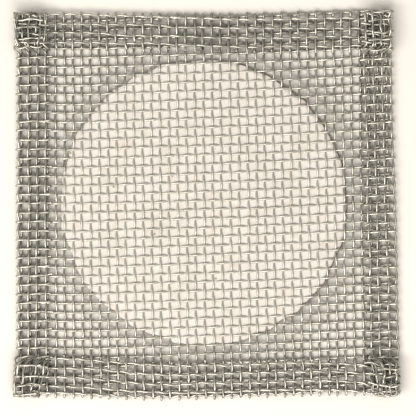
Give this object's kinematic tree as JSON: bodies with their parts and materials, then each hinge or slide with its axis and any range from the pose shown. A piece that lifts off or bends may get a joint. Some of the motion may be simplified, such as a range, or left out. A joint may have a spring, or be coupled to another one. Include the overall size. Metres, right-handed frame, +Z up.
{
  "type": "wire gauze",
  "caption": "Square of woven iron wire with folded hems and a ceramic disc keyed into its middle, laid over a burner stand to spread the flame's heat.",
  "frame": {"origin": "middle of the ceramic disc, on its lower face, which is the face that the gauze lies on", "axes": "+Z up, out of the face with the folded hems; +X along the weft wires, +Y along the warp wires"},
  "size_m": [0.1248, 0.1248, 0.0071],
  "materials": {
    "iron_wire": "dull galvanised iron wire",
    "ceramic": "matt cream ceramic with fine pinholes"
  },
  "bodies": {
    "root": {"warp_centre": "iron_wire", "warp_pair_01": "iron_wire", "warp_pair_02": "iron_wire", "warp_pair_03": "iron_wire", "warp_pair_04": "iron_wire", "warp_pair_05": "iron_wire", "warp_pair_06": "iron_wire", "warp_pair_07": "iron_wire", "warp_pair_08": "iron_wire", "warp_pair_09": "iron_wire", "warp_pair_10": "iron_wire", "warp_pair_11": "iron_wire", "warp_pair_12": "iron_wire", "warp_pair_13": "iron_wire", "warp_pair_14": "iron_wire", "warp_pair_15": "iron_wire", "warp_pair_16": "iron_wire", "warp_pair_17": "iron_wire", "warp_pair_18": "iron_wire", "warp_pair_19": "iron_wire", "warp_pair_20": "iron_wire", "warp_pair_21": "iron_wire", "warp_pair_22": "iron_wire", "warp_pair_23": "iron_wire", "warp_pair_24": "iron_wire", "warp_pair_25": "iron_wire", "weft_centre": "iron_wire", "weft_pair_01": "iron_wire", "weft_pair_02": "iron_wire", "weft_pair_03": "iron_wire", "weft_pair_04": "iron_wire", "weft_pair_05": "iron_wire", "weft_pair_06": "iron_wire", "weft_pair_07": "iron_wire", "weft_pair_08": "iron_wire", "weft_pair_09": "iron_wire", "weft_pair_10": "iron_wire", "weft_pair_11": "iron_wire", "weft_pair_12": "iron_wire", "weft_pair_13": "iron_wire", "weft_pair_14": "iron_wire", "weft_pair_15": "iron_wire", "weft_pair_16": "iron_wire", "weft_pair_17": "iron_wire", "weft_pair_18": "iron_wire", "weft_pair_19": "iron_wire", "weft_pair_20": "iron_wire", "weft_pair_21": "iron_wire", "weft_pair_22": "iron_wire", "weft_pair_23": "iron_wire", "weft_pair_24": "iron_wire", "weft_pair_25": "iron_wire", "ceramic_disc": "ceramic"}
  },
  "joints": []
}
